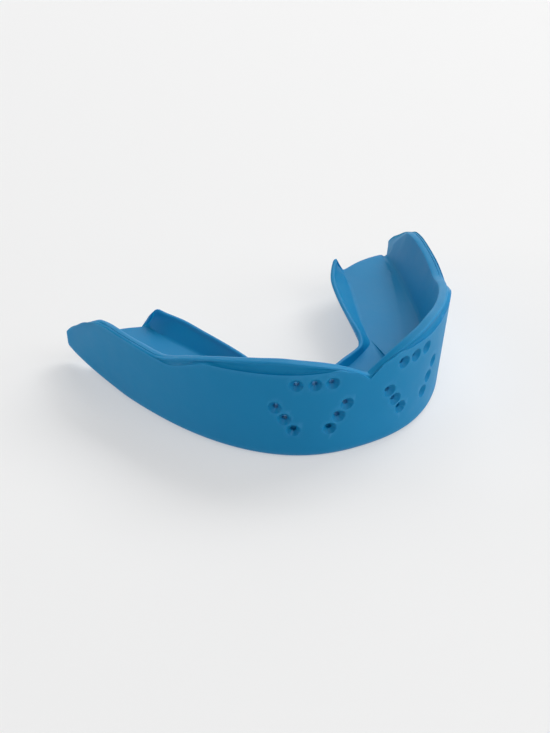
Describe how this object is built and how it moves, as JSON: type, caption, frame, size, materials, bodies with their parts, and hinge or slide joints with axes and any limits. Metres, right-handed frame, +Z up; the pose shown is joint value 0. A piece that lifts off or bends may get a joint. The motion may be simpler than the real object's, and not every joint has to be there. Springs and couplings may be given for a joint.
{
  "type": "mouthguard",
  "caption": "Adult upper-jaw sports mouthguard: a U-shaped blue tray with a high perforated front wall, cheek walls, molar pads and a low inner wall.",
  "frame": {"origin": "On the base plane, in the middle of the overall width and depth.", "axes": "+Z up out of the open side of the tray, where the teeth enter; -Y the front of the mouth, where the perforated wall stands; +X the wearer's left."},
  "size_m": [0.0624, 0.0476, 0.0191],
  "materials": {
    "shell": "satin"
  },
  "bodies": {
    "root": {"labial_wall": "shell", "cheek_wall_left": "shell", "cheek_wall_right": "shell", "front_bite_floor": "shell", "molar_pad_left": "shell", "molar_pad_right": "shell", "front_palatal_lip": "shell", "palatal_wall_left": "shell", "palatal_wall_right": "shell"}
  },
  "joints": []
}
